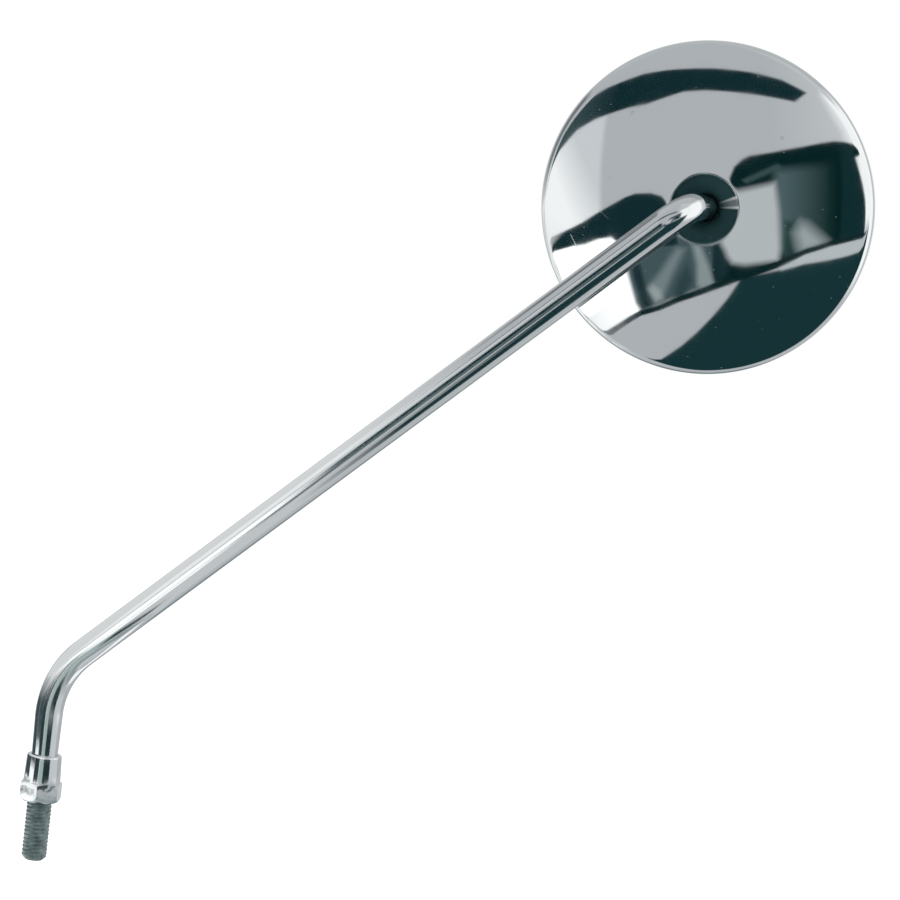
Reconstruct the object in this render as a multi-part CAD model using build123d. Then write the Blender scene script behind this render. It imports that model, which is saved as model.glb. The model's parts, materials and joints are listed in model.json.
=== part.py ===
from build123d import *
import math
import os

# Round mirror on a bent stem. Millimetres. The stud points down along -Z, the nut's seat is at z = 0,
# the stem lies in the XZ plane and the glass looks towards +Y.

# Threaded foot and nut
thread_crest_radius = 3.95
thread_pitch_radius = 3.6
free_thread_length = 19.0
thread_chamfer = 1.25
hex_across_flats = 12.0
hex_height = 6.4
nut_height = 15.0
sleeve_base_radius = 5.85
sleeve_top_radius = 5.5
sleeve_top_round = 0.8
top_chamfer_inset = 0.3
top_chamfer_angle = 30.0
seat_chamfer_inset = 0.45
seat_chamfer_angle = 45.0

# Stem bar
rod_radius = 4.4
foot_radius = 4.15
lower_corner_height = 40.2
rod_rise_angle = 42.6
corner_to_corner = 251.7
lower_bend_radius = 29.0
elbow_radius = 9.0
elbow_to_ball = 23.0
rod_end_round = 2.0

# Ball joint, measured from the ball's centre
ball_radius = 5.0
neck_radius = 2.1
rod_end_to_ball = 10.5
shank_radius = 2.5
shank_length = 6.5
ball_neck_round = 0.6

# Clearances
thread_clearance = 0.05
joint_clearance = 0.03
braze_clearance = 0.02
touch_clearance = 0.01

# Shell
mirror_radius = 50.0
sheet = 0.9
dome_radius = 125.0
funnel_hole_radius = 4.0
seat_outer_radius = 4.2
funnel_slope = 40.0
funnel_lip_radius = 10.2
lip_round = 1.3
shoulder_round = 3.0
hem_round = 1.5
hem_width = 3.0

# Ball holder
cup_wall = 1.17
cup_edge_depth = 1.0
washer_hole_radius = 2.6
washer_outer_radius = 8.0
washer_slope = 15.0
washer_sheet = 0.6
retainer_sheet = 1.0
crown_radius = 8.8
crown_foot_radius = 11.5
flange_depth = 1.5
crown_bend = 0.8
stud_circle_radius = 20.0
stud_radius = 2.0
stud_base_radius = 3.0
stud_base_height = 1.2
stud_end_depth = 7.2
stud_hole_clearance = 0.2
ear_radius = 5.5
retainer_nut_flats = 7.0
retainer_nut_height = 3.2
holder_count = 3

# Glass pack
glass_thickness = 3.0
glass_curve_radius = 1200.0
board_inset = 0.2
board_thickness = 1.6
gasket_wall = 1.8
gasket_lip_width = 2.6
gasket_lip = 1.0
gasket_clearance = 0.1
gasket_corner_round = 0.8

# How far the head is turned about the stem's upright at rest, and the nut about the foot
rest_pan = 10.0
nut_turn = -16.6

rise = math.radians(rod_rise_angle)
elbow_x = corner_to_corner * math.cos(rise)
elbow_z = lower_corner_height + corner_to_corner * math.sin(rise)
ball_centre = (elbow_x, elbow_to_ball, elbow_z)
head_place = Pos(*ball_centre) * Rot(0, 0, rest_pan) * Rot(90, 0, 0)
stem_end_place = Pos(*ball_centre) * Rot(90, 0, 0)


def sphere_height(radius, reach):
    """Height of a sphere's surface over its centre at the given distance from its axis."""
    return math.sqrt(radius ** 2 - reach ** 2)


def outline_face(points):
    """Closed straight-sided face in the plane of radius (X) and height (Z)."""
    return make_face(Plane.XZ * Polyline(*points, close=True))


def turned(face):
    """Full turn of a face about the Z axis."""
    return revolve(face, Axis.Z, 360)


def hexagon(across_flats, height, base):
    """Upright hexagon bar standing on the given height."""
    outline = RegularPolygon(across_flats / 2, 6, major_radius=False)
    return Pos(0, 0, base) * extrude(outline, height)


def single(shape):
    """The one solid of a shape."""
    return shape.solids()[0]


def save(shape, name):
    """Write one node."""
    export_step(shape, os.path.join("parts", name + ".step"))


def stem_path(end_depth):
    """Centre line from the top of the lower straight to the given depth behind the rod."""
    turn = math.radians(90 - rod_rise_angle)
    lower_tangent = lower_bend_radius * math.tan(turn / 2)
    bend_start = lower_corner_height - lower_tangent
    along = Vector(math.cos(rise), 0, math.sin(rise))
    corner = Vector(0, 0, lower_corner_height)
    elbow = Vector(elbow_x, 0, elbow_z)
    bend_end = corner + along * lower_tangent
    elbow_start = elbow - along * elbow_radius
    elbow_end = elbow + Vector(0, elbow_radius, 0)
    start = Vector(0, 0, bend_start)
    lower_bend = TangentArc(start, bend_end, tangent=Vector(0, 0, 1))
    long_run = Line(bend_end, elbow_start)
    elbow_bend = TangentArc(elbow_start, elbow_end, tangent=along)
    end_run = Line(elbow_end, Vector(elbow_x, end_depth, elbow_z))
    return Wire([lower_bend, long_run, elbow_bend, end_run]), bend_start


def make_stem_rod():
    """Bent bar with its threaded foot and the bore for the ball stud."""
    rod_end_depth = elbow_to_ball - rod_end_to_ball
    path, bend_start = stem_path(rod_end_depth)
    section = Plane(path @ 0, z_dir=path % 0) * Circle(rod_radius)
    bar = sweep(section, path=path)
    end_edges = bar.edges().filter_by(GeomType.CIRCLE).sort_by(Axis.Y)[-1:]
    bar = fillet(end_edges, rod_end_round)
    foot = turned(outline_face([
        (0, -free_thread_length),
        (thread_crest_radius - thread_chamfer, -free_thread_length),
        (thread_crest_radius, thread_chamfer - free_thread_length),
        (thread_crest_radius, 0),
        (thread_pitch_radius, 0),
        (thread_pitch_radius, hex_height),
        (foot_radius, hex_height),
        (foot_radius, nut_height),
        (rod_radius, bend_start),
        (0, bend_start),
    ]))
    bore = Pos(0, 0, rod_end_to_ball) * Cylinder(
        shank_radius + braze_clearance, shank_length,
        align=(Align.CENTER, Align.CENTER, Align.MIN))
    return single(foot + bar - stem_end_place * bore)


def make_ball_stud():
    """Ball with a thin neck and the shank that sits in the bar."""
    neck = Cylinder(neck_radius, rod_end_to_ball, align=(Align.CENTER, Align.CENTER, Align.MIN))
    stud = Sphere(ball_radius) + neck
    join = stud.edges().filter_by(GeomType.CIRCLE).filter_by(
        lambda edge: 0 < edge.center().Z < rod_end_to_ball)
    stud = fillet(join, ball_neck_round)
    shank = Pos(0, 0, rod_end_to_ball) * Cylinder(
        shank_radius, shank_length, align=(Align.CENTER, Align.CENTER, Align.MIN))
    return single(stem_end_place * (stud + shank))


def make_lock_nut():
    """Hexagon with both ends chamfered and a tapering sleeve above it."""
    corner = hex_across_flats / math.sqrt(3)
    seat_edge = hex_across_flats / 2 - seat_chamfer_inset
    seat_drop = (corner - seat_edge) * math.tan(math.radians(seat_chamfer_angle))
    top_edge = hex_across_flats / 2 - top_chamfer_inset
    top_drop = (corner - top_edge) * math.tan(math.radians(top_chamfer_angle))
    chamfered = turned(outline_face([
        (0, 0),
        (seat_edge, 0),
        (corner, seat_drop),
        (corner, hex_height - top_drop),
        (top_edge, hex_height),
        (0, hex_height),
    ]))
    sleeve = turned(outline_face([
        (0, hex_height - top_drop),
        (sleeve_base_radius, hex_height - top_drop),
        (sleeve_base_radius, hex_height),
        (sleeve_top_radius, nut_height),
        (0, nut_height),
    ]))
    sleeve = fillet(sleeve.edges().sort_by(Axis.Z)[-1:], sleeve_top_round)
    bore = turned(outline_face([
        (0, 0),
        (thread_crest_radius + thread_clearance, 0),
        (thread_pitch_radius + thread_clearance, thread_crest_radius - thread_pitch_radius),
        (thread_pitch_radius + thread_clearance, hex_height),
        (foot_radius + thread_clearance, hex_height),
        (foot_radius + thread_clearance, nut_height),
        (0, nut_height),
    ]))
    body = hexagon(hex_across_flats, hex_height, 0) & chamfered
    return single(Rot(0, 0, nut_turn) * (body + sleeve - bore))


# Heights inside the head run along its own axis: zero at the ball's centre, plus towards the stem.
seat_radius = ball_radius + joint_clearance
funnel_rate = math.tan(math.radians(funnel_slope))
sheet_along_axis = sheet / math.cos(math.radians(funnel_slope))
funnel_inner_apex = sphere_height(seat_radius, seat_outer_radius) - seat_outer_radius * funnel_rate
funnel_outer_apex = funnel_inner_apex + sheet_along_axis
lip_height = funnel_outer_apex + funnel_lip_radius * funnel_rate
dome_centre = lip_height - sphere_height(dome_radius, funnel_lip_radius)

cup_outer_radius = seat_radius + cup_wall
washer_touch = sphere_height(cup_outer_radius + touch_clearance, washer_hole_radius)
washer_rate = math.tan(math.radians(washer_slope))
washer_drop = (washer_outer_radius - washer_hole_radius) * washer_rate
washer_along_axis = washer_sheet / math.cos(math.radians(washer_slope))
crown_inside = -(washer_touch + washer_drop + washer_along_axis + touch_clearance)
crown_outside = crown_inside - retainer_sheet

gasket_outer_radius = mirror_radius - sheet - gasket_clearance
groove_radius = gasket_outer_radius - gasket_wall
glass_radius = groove_radius - touch_clearance
board_radius = glass_radius - board_inset
board_back = crown_outside
board_front = board_back - board_thickness
glass_edge_front = board_front - glass_thickness
gasket_inner_radius = glass_radius - gasket_lip_width
lip_reach = mirror_radius - sheet - hem_width
glass_bulge = sphere_height(glass_curve_radius, gasket_inner_radius) - sphere_height(
    glass_curve_radius, glass_radius)
gasket_lip_back = glass_edge_front - glass_bulge - touch_clearance
gasket_front = gasket_lip_back - gasket_lip
shell_front = gasket_front - sheet - touch_clearance


def shell_blank(offset, skirt_radius, front, lip, shoulder, hem):
    """Turned body bounded by the sheet's outside (offset 0) or inside (offset one sheet)."""
    apex = funnel_outer_apex - offset / math.cos(math.radians(funnel_slope))
    radius = dome_radius - offset
    # The funnel's line meets the dome's circle at the lip.
    gap = apex - dome_centre
    rate = 1 + funnel_rate ** 2
    half = funnel_rate * gap
    lip_reach_here = (-half + math.sqrt(half ** 2 - rate * (gap ** 2 - radius ** 2))) / rate
    lip_point = (lip_reach_here, apex + funnel_rate * lip_reach_here)
    skirt_top = (skirt_radius, dome_centre + sphere_height(radius, skirt_radius))
    middle = (lip_reach_here + skirt_radius) / 2
    dome_point = (middle, dome_centre + sphere_height(radius, middle))
    outline = Plane.XZ * (
        Line((0, apex), lip_point)
        + ThreePointArc(lip_point, dome_point, skirt_top)
        + Polyline(skirt_top, (skirt_radius, front), (0, front), (0, apex)))
    face = make_face(outline)
    for point, size in ((lip_point, lip), (skirt_top, shoulder), ((skirt_radius, front), hem)):
        corner = face.vertices().sort_by_distance((point[0], 0, point[1]))[0]
        face = fillet(corner, size)
    return turned(face)


def make_back_shell():
    """Pressed sheet with the funnel, the ball's seat, the rounded rim and the turned front edge."""
    outside = shell_blank(0, mirror_radius, shell_front, lip_round, shoulder_round, hem_round)
    inside = shell_blank(
        sheet, mirror_radius - sheet, shell_front + sheet,
        lip_round - sheet, shoulder_round - sheet, hem_round - sheet)
    opening = Pos(0, 0, shell_front) * Cylinder(lip_reach, 4 * sheet)
    hole = Cylinder(funnel_hole_radius, 4 * ball_radius)
    return single(outside - inside - opening - hole - Sphere(seat_radius))


def make_friction_cup():
    """Part of a hollow ball on the glass side of the joint."""
    cut = Pos(0, 0, -cup_edge_depth) * Box(
        4 * ball_radius, 4 * ball_radius, 4 * ball_radius,
        align=(Align.CENTER, Align.CENTER, Align.MIN))
    return single(Sphere(cup_outer_radius) - Sphere(seat_radius) - cut)


def make_spring_washer():
    """Dished washer: its hole sits on the cup and its outer edge under the crown."""
    return single(turned(outline_face([
        (washer_hole_radius, -washer_touch),
        (washer_outer_radius, -washer_touch - washer_drop),
        (washer_outer_radius, -washer_touch - washer_drop - washer_along_axis),
        (washer_hole_radius, -washer_touch - washer_along_axis),
    ])))


def around(shape, reach):
    """Copies of a shape on the holder's circle."""
    turns = [index * 360 / holder_count + 90 for index in range(holder_count)]
    return [Rot(0, 0, turn) * Pos(reach, 0, 0) * shape for turn in turns]


def make_ball_retainer():
    """Pressed hat with a three-eared flange."""
    ears = Sketch() + around(Circle(ear_radius), stud_circle_radius)
    plate = make_hull(ears.edges())
    flange = Pos(0, 0, -flange_depth - retainer_sheet) * extrude(plate, retainer_sheet)
    wall_angle = math.atan2(crown_foot_radius - crown_radius, -crown_inside - flange_depth)
    wall_across = retainer_sheet / math.cos(wall_angle)
    corner_shift = retainer_sheet * math.tan(wall_angle)
    outer_top = crown_radius + wall_across - corner_shift
    outer_foot = crown_foot_radius + wall_across - corner_shift
    outside = outline_face([
        (0, crown_outside),
        (outer_top, crown_outside),
        (outer_foot, -flange_depth - retainer_sheet),
        (outer_foot, -flange_depth),
        (0, -flange_depth),
    ])
    outside = fillet(outside.vertices().sort_by_distance((outer_top, 0, crown_outside))[0],
                     crown_bend + retainer_sheet)
    inside = outline_face([
        (0, crown_inside),
        (crown_radius, crown_inside),
        (crown_foot_radius, -flange_depth),
        (0, -flange_depth),
    ])
    inside = fillet(inside.vertices().sort_by_distance((crown_radius, 0, crown_inside))[0], crown_bend)
    hole = Cylinder(stud_radius + stud_hole_clearance, 4 * stud_end_depth)
    body = flange + turned(outside) - turned(inside)
    for tool in around(hole, stud_circle_radius):
        body = body - tool
    return single(body)


def make_retainer_studs():
    """Studs with a weld foot that follows the inside of the dome."""
    stud_top = dome_centre + dome_radius
    shaft = Pos(0, 0, -stud_end_depth) * Cylinder(
        stud_radius, stud_top + stud_end_depth, align=(Align.CENTER, Align.CENTER, Align.MIN))
    dome_inside = dome_radius - sheet - braze_clearance
    foot_height = dome_centre + sphere_height(dome_inside, stud_circle_radius) - stud_base_height
    foot = Pos(0, 0, foot_height) * Cylinder(
        stud_base_radius, stud_top - foot_height, align=(Align.CENTER, Align.CENTER, Align.MIN))
    bound = Pos(0, 0, dome_centre) * Sphere(dome_inside)
    return [single(blank & bound) for blank in around(shaft + foot, stud_circle_radius)]


def make_retainer_nuts():
    """Small hexagon nuts on the retainer's flange."""
    base = -flange_depth - retainer_sheet - retainer_nut_height
    nut = hexagon(retainer_nut_flats, retainer_nut_height, base)
    nut = nut - Cylinder(stud_radius + thread_clearance, 4 * stud_end_depth)
    return [single(copy) for copy in around(nut, stud_circle_radius)]


def make_backing_board():
    """Flat board between the retainer's crown and the glass."""
    return single(Pos(0, 0, board_front) * Cylinder(
        board_radius, board_thickness, align=(Align.CENTER, Align.CENTER, Align.MIN)))


def make_mirror_glass():
    """Convex disc of even thickness."""
    edge_height = sphere_height(glass_curve_radius, glass_radius)
    front_ball = Pos(0, 0, glass_edge_front + edge_height) * Sphere(glass_curve_radius)
    back_ball = Pos(0, 0, board_front + edge_height) * Sphere(glass_curve_radius)
    blank = Pos(0, 0, board_front) * Cylinder(
        glass_radius, 4 * glass_thickness, align=(Align.CENTER, Align.CENTER, Align.MAX))
    return single(blank & front_ball - back_ball)


def make_rim_gasket():
    """Channel that wraps the edges of the board and the glass."""
    section = outline_face([
        (gasket_outer_radius, gasket_front),
        (gasket_outer_radius, board_back + gasket_lip),
        (gasket_inner_radius, board_back + gasket_lip),
        (gasket_inner_radius, board_back + touch_clearance),
        (groove_radius, board_back + touch_clearance),
        (groove_radius, gasket_lip_back),
        (gasket_inner_radius, gasket_lip_back),
        (gasket_inner_radius, gasket_front),
    ])
    front_corner = section.vertices().sort_by_distance((gasket_outer_radius, 0, gasket_front))[0]
    return single(turned(fillet(front_corner, gasket_corner_round)))


os.makedirs("parts", exist_ok=True)
save(make_stem_rod(), "stem_rod")
save(make_ball_stud(), "ball_stud")
save(make_lock_nut(), "lock_nut")
save(head_place * make_back_shell(), "back_shell")
save(head_place * make_friction_cup(), "friction_cup")
save(head_place * make_spring_washer(), "spring_washer")
save(head_place * make_ball_retainer(), "ball_retainer")
save(Compound([head_place * stud for stud in make_retainer_studs()]), "retainer_studs")
save(Compound([head_place * nut for nut in make_retainer_nuts()]), "retainer_nuts")
save(head_place * make_backing_board(), "backing_board")
save(head_place * make_mirror_glass(), "mirror_glass")
save(head_place * make_rim_gasket(), "rim_gasket")
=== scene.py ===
import json
import math

import bmesh
import bpy
from mathutils import Matrix, Vector


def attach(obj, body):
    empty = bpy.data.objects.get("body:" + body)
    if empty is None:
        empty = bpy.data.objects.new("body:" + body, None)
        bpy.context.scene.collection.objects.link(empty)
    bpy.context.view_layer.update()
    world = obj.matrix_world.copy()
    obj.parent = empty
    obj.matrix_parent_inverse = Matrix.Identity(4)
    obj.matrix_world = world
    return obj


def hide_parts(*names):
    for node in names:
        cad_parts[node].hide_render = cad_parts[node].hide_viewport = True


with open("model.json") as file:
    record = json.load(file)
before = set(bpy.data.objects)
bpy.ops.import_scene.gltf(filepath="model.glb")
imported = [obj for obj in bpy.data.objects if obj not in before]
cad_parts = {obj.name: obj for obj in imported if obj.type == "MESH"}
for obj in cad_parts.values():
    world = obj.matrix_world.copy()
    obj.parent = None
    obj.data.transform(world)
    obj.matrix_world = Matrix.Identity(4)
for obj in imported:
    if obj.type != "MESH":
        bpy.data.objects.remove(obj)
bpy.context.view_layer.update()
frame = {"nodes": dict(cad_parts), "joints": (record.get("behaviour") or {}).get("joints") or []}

# Sizes of the mirror in millimetres. The head's heights run along its own axis from the ball's centre,
# plus towards the stem.
MM = 0.001
CLOSE = 1e-6
PICK_REACH = 0.01
CORNER_STEPS = 8
SMOOTH_ANGLE = 40.0

JOINTS = {joint["name"]: joint for joint in frame["joints"]}
BALL_CENTRE = Vector(JOINTS["head_spin"]["pos_m"]) / MM
UPRIGHT = Vector((0, 0, 1))
HEAD_BACK = -Vector(JOINTS["head_spin"]["axis"])
HEAD_ACROSS = UPRIGHT.cross(HEAD_BACK)
STEM_BACK = Vector((0, -1, 0))

# Threaded foot
STUD_LENGTH = 19.0
STUD_CHAMFER = 1.25
CREST_RADIUS = 3.95
THREAD_PITCH = 1.25
THREAD_DEPTH = 0.19
PITCH_RADIUS = 3.6
FOOT_RADIUS = 4.15
THREAD_RINGS_PER_TURN = 16

# Nut
HEX_FLATS = 12.0
HALF_FLAT_ANGLE = 30.0
HEX_HEIGHT = 6.4
NUT_HEIGHT = 15.0
NUT_TURN = -16.6
SLEEVE_BASE_RADIUS = 5.85
SLEEVE_TOP_RADIUS = 5.5
SLEEVE_TOP_ROUND = 0.8
HEX_CORNER_ROUND = 0.55
HEX_CORNER_STEPS = 6
SEAT_CHAMFER_INSET = 0.45
SEAT_CHAMFER_ANGLE = 45.0
TOP_CHAMFER_INSET = 0.3
TOP_CHAMFER_ANGLE = 30.0
NUT_EDGE_ROUND = 0.12
NUT_EDGE_STEPS = 3
NUT_EDGE_ANGLE = 20.0
NUT_SMOOTH_ANGLE = 30.0
FLAT_TILT_LIMIT = 0.2
BORE_OVERRUN = 1.0
RUNNING_GAP = 0.05

# Bar
BAR_RADIUS = 4.4
LOWER_CORNER = Vector((0, 0, 40.2))
RISE_ANGLE = 42.6
ALONG_BAR = Vector((math.cos(math.radians(RISE_ANGLE)), 0, math.sin(math.radians(RISE_ANGLE))))
LOWER_BEND_RADIUS = 29.0
ELBOW_RADIUS = 9.0
ELBOW_TO_BALL = 23.0
BAR_END_TO_BALL = 10.5
BAR_END_ROUND = 2.0
BAR_SEGMENTS = 96
LOWER_BEND_STEPS = 32
ELBOW_STEPS = 48
END_ROUND_STEPS = 10

# Ball pin
BALL_RADIUS = 5.0
NECK_RADIUS = 2.1
NECK_ROUND = 0.6
SHANK_RADIUS = 2.5
SHANK_LENGTH = 6.5
SHANK_GAP = 0.02
BALL_STEPS = 40
NECK_STEPS = 6
# Where the ball's painted shade starts to fade and where it has gone, past the ball's surface
BALL_SHADE_START = 0.15
BALL_SHADE_END = 0.8

# Shell
SHELL_RADIUS = 50.0
SHEET = 0.9
DOME_RADIUS = 125.0
HOLE_RADIUS = 4.0
SEAT_EDGE_RADIUS = 4.2
SEAT_RADIUS = 5.03
FUNNEL_SLOPE = 40.0
LIP_RADIUS = 10.2
LIP_ROUND = 1.3
SHOULDER_ROUND = 3.0
HEM_ROUND = 1.5
HEM_WIDTH = 3.0
SHELL_SEGMENTS = 288
DOME_STEP = 0.8
SEAT_STEPS = 4
LIP_STEPS = 10
SHOULDER_STEPS = 14
# Painted shade in the funnel, reaching further over the lip on its lower side, and two painted reflection
# lines up its wall
FUNNEL_SHADE_START = 10.35
FUNNEL_SHADE_FADE = 0.45
LOWER_LIP_SHADE = 0.7
REFLECTION_LINES = (8.0, 25.0)
REFLECTION_LINE_CORE = 1.3
REFLECTION_LINE_EDGE = 3.8
BETWEEN_LINES = 0.75
LINES_START = 5.0
LINES_FADE = 1.5
# Marks on the dome: from a distance off its axis and an angle to another, how wide and how strong
DOME_MARKS = (
    (35.72, 134.2, 35.72, 134.8, 0.75, 1.0),
    (30.80, 48.8, 30.80, 49.4, 0.65, 0.8),
    (29.66, 168.3, 29.66, 168.9, 0.65, 0.8),
    (41.27, -162.0, 40.34, -156.5, 0.2, 0.32),
    (31.79, -172.2, 28.88, -166.8, 0.16, 0.15),
)

# Glass pack
GLASS_RADIUS = 47.19
GLASS_THICKNESS = 3.0
GLASS_CURVE = 1200.0
GLASS_EDGE_ROUND = 0.3
GLASS_EDGE_STEPS = 5
GLASS_RINGS = 40
BOARD_BACK = -8.718
BOARD_THICKNESS = 1.6
GLASS_BACK = BOARD_BACK - BOARD_THICKNESS
GLASS_FRONT = GLASS_BACK - GLASS_THICKNESS
CHANNEL_GAP = 0.1
CHANNEL_WALL = 1.8
CHANNEL_LIP = 1.0
CHANNEL_LIP_WIDTH = 2.6
CHANNEL_INNER = GLASS_RADIUS - CHANNEL_LIP_WIDTH
CHANNEL_CORNER_ROUND = 0.8
CHANNEL_LIP_ROUND = 0.35
TOUCH_GAP = 0.01

# Camera of the photograph: its turn about the upright, its height and its roll in degrees
CAMERA_AZIMUTH = 17.777
CAMERA_ELEVATION = 5.548
CAMERA_ROLL = 6.752
CAMERA_PLACE = Vector((0.42098, -0.93370, 0.22466))
SENSOR_WIDTH = 36.0
FOCAL_LENGTH = 130.859

# Studio in metres, but its strips beside the bar and the foot in millimetres and degrees
WALL_DISTANCE = 3.0
CARD_LAYER = 0.04
STRIP_DISTANCE = 100.0
NEAR_STRIP_DISTANCE = 45.0
STRIP_START = -45
STRIP_FEATHER_SHARE = 0.04
FOOT_STRIP_DISTANCE = 60.0
FOOT_STRIP_WIDEST = 45.0
FOOT_STRIP_OVERLAP = 0.8
FOOT_STRIP_FEATHER = 0.8
THREAD_LOW = -44
HEX_LOW = -11.8
HEX_TOP = -2.2
SLEEVE_LOW = -2.0
FOOT_MEAN_RADIUS = 5.2
TENT_RADIUS = 20.0
TENT_RINGS = 24
FAR_DISTANCE = 12.0
FLOOR_HEIGHT = -0.12
FLOOR_SIZE = 6.0
FLOOR_LIFT = 0.45
SOFT_LEVEL = 0.7
CHROME = "#cbcecf"
WHITE = "#ffffff"
PALE = "#d7dade"
DARK = "#18363b"
VERY_DARK = "#0c2c2e"
CLEAR = "clear"
# Beside the bar: from and to along it and round it, how far off, where the strip starts to fade, and power
BAR_STRIPS = (
    ("upper_strip", WHITE, STRIP_START, 150, -140, -66, STRIP_DISTANCE, 90, 1.05),
    ("upper_light", WHITE, STRIP_START, 150, -66, -36, STRIP_DISTANCE, 90, 1.3),
    ("strip_gap", "#dcdee0", STRIP_START, 110, -35, -27, STRIP_DISTANCE, 70, 1.0),
    ("white_strip_upper", WHITE, STRIP_START, 90, -27, 1, STRIP_DISTANCE, 60, 1.7),
    ("white_strip_lower", WHITE, STRIP_START, 62, 1, 16, STRIP_DISTANCE, 26, 1.7),
    ("pale_strip_upper", "#eef0f2", 32, 190, 14, 42, NEAR_STRIP_DISTANCE, 92, 1.0),
    ("pale_strip_lower", "#eef0f2", 32, 130, 39, 86, NEAR_STRIP_DISTANCE, 82, 1.0),
    ("pale_strip_start_upper", "#eef0f2", STRIP_START, 80, 14, 42, STRIP_DISTANCE, 60, 1.0),
    ("pale_strip_start_lower", "#eef0f2", STRIP_START, 80, 39, 86, STRIP_DISTANCE, 60, 1.0),
)
# Round the foot: power, from and to round it and upwards, and where some start to fade and to what
FOOT_STRIPS = (
    ("bar_left", "#4c5c5f", 1.0, -140, -86, SLEEVE_LOW, 43, 28, CLEAR),
    ("bar_inner_left", "#4c5c5f", 1.0, -86, -52, 7.6, 43, 28, CLEAR),
    ("bar_middle_left", "#34464a", 1.0, -52, -20, SLEEVE_LOW, 37, 22, CLEAR),
    ("bend_left", WHITE, 1.05, -140, -52, 44, 110, 90, CLEAR),
    ("sleeve_left", WHITE, 1.6, -86, -52, SLEEVE_LOW, 7.6, 4.6, "#4c5c5f"),
    ("foot_front", "#c0d4d1", 1.0, -19, 6, SLEEVE_LOW, 27, 18, CLEAR),
    ("foot_middle_right", "#22393b", 1.0, 6, 48, SLEEVE_LOW, 25, 12, CLEAR),
    ("foot_right", "#eef1f5", 1.0, 48, 104, SLEEVE_LOW, 20, 12, CLEAR),
    ("foot_far_right", "#cfd2d5", 1.0, 104, 150, SLEEVE_LOW, 20, 12, CLEAR),
    ("flat_far_left", "#c9cecf", 1.0, -150, -88, HEX_LOW, HEX_TOP),
    ("flat_left_dark", "#3f4e52", 1.0, -88, -81.5, HEX_LOW, HEX_TOP),
    ("flat_left_light", "#b4bbbe", 1.0, -81.5, -79.5, HEX_LOW, HEX_TOP),
    ("flat_left_shade", "#46565a", 1.0, -79.5, -76.5, HEX_LOW, HEX_TOP),
    ("flat_middle_left", "#c8cdd0", 1.0, -76.5, -71, HEX_LOW, HEX_TOP),
    ("flat_corner", WHITE, 1.6, -71, -9, HEX_LOW, HEX_TOP),
    ("flat_right", "#d6dadc", 1.0, -9, 150, HEX_LOW, HEX_TOP),
    ("thread_left", WHITE, 1.9, -150, -70, THREAD_LOW, HEX_LOW),
    ("thread_front", "#a9b7b9", 1.0, -70, 80, THREAD_LOW, HEX_LOW),
    ("thread_right", WHITE, 1.5, 80, 150, THREAD_LOW, HEX_LOW),
)


# Outlines

def arc(centre, radius, start, end, steps):
    """Points on a circle in the plane of reach and height, angles in degrees from the reach."""
    points = []
    for step in range(steps + 1):
        angle = math.radians(start + (end - start) * step / steps)
        points.append((centre[0] + radius * math.cos(angle), centre[1] + radius * math.sin(angle)))
    return points


def round_corner(before, corner, after, radius, steps=CORNER_STEPS):
    """Points of an arc that rounds one corner of an outline."""
    corner = Vector(corner)
    back = (Vector(before) - corner).normalized()
    ahead = (Vector(after) - corner).normalized()
    half = back.angle(ahead) / 2
    tangent = radius / math.tan(half)
    centre = corner + (back + ahead).normalized() * (radius / math.sin(half))
    first = corner + back * tangent - centre
    last = corner + ahead * tangent - centre
    sweep = first.angle_signed(last)
    points = []
    for step in range(steps + 1):
        turned_to = first.copy()
        turned_to.rotate(Matrix.Rotation(-sweep * step / steps, 2))
        points.append(tuple(centre + turned_to))
    return points


def outline(*corners):
    """Outline through corners, each a point or a point with the radius that rounds it."""
    points = []
    last = len(corners) - 1
    for index, corner in enumerate(corners):
        if len(corner) == 2:
            points.append(corner)
            continue
        before = corners[index - 1][:2]
        after = corners[index + 1 if index < last else 0][:2]
        points.extend(round_corner(before, corner[:2], after, corner[2]))
    return points


def share_of(value, most=1.0):
    """Value kept between nothing and the most it may be."""
    return min(max(value, 0.0), most)


def sphere_height(radius, reach):
    """Height of a sphere's surface over its centre at a distance from its axis."""
    return math.sqrt(radius ** 2 - reach ** 2)


# Modelling steps

def start_point(name, place):
    """New mesh of one selected vertex, open for editing."""
    bpy.ops.mesh.primitive_plane_add(size=MM)
    piece = bpy.context.object
    piece.name = name
    piece.data.name = name
    bpy.ops.object.mode_set(mode="EDIT")
    bpy.ops.mesh.select_all(action="SELECT")
    bpy.ops.mesh.merge(type="CENTER")
    bpy.ops.transform.translate(value=place)
    return piece


def extrude_by(offset):
    """Extrude what is selected by an offset in metres."""
    bpy.ops.mesh.extrude_region_move(TRANSFORM_OT_translate={"value": offset})


def trace(places):
    """Extrude the selected vertex from place to place."""
    for start, end in zip(places, places[1:]):
        extrude_by(end - start)


def close_mesh():
    """Merge what lies together and point the faces outwards."""
    bpy.ops.mesh.select_all(action="SELECT")
    bpy.ops.mesh.remove_doubles(threshold=CLOSE)
    bpy.ops.mesh.normals_make_consistent(inside=False)


def turn_outline(name, points, segments):
    """Outline of reach and height turned about the upright axis, left open for editing."""
    places = [Vector((reach, 0, height)) * MM for reach, height in points]
    piece = start_point(name, places[0])
    trace(places)
    bpy.ops.mesh.select_all(action="SELECT")
    bpy.ops.mesh.spin(steps=segments, angle=2 * math.pi, center=(0, 0, 0), axis=(0, 0, 1))
    close_mesh()
    return piece


def pick(piece, test):
    """Select the vertices whose place in millimetres passes the test, with the edges between them."""
    mesh = bmesh.from_edit_mesh(piece.data)
    mesh.select_mode = {"VERT"}
    for vertex in mesh.verts:
        vertex.select = test(vertex.co / MM)
    mesh.select_flush_mode()
    bmesh.update_edit_mesh(piece.data)


def stop_editing():
    """Leave edit mode and shade the piece smooth, except at sharp edges."""
    bpy.ops.object.mode_set(mode="OBJECT")
    bpy.ops.object.shade_smooth_by_angle(angle=math.radians(SMOOTH_ANGLE))


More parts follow.
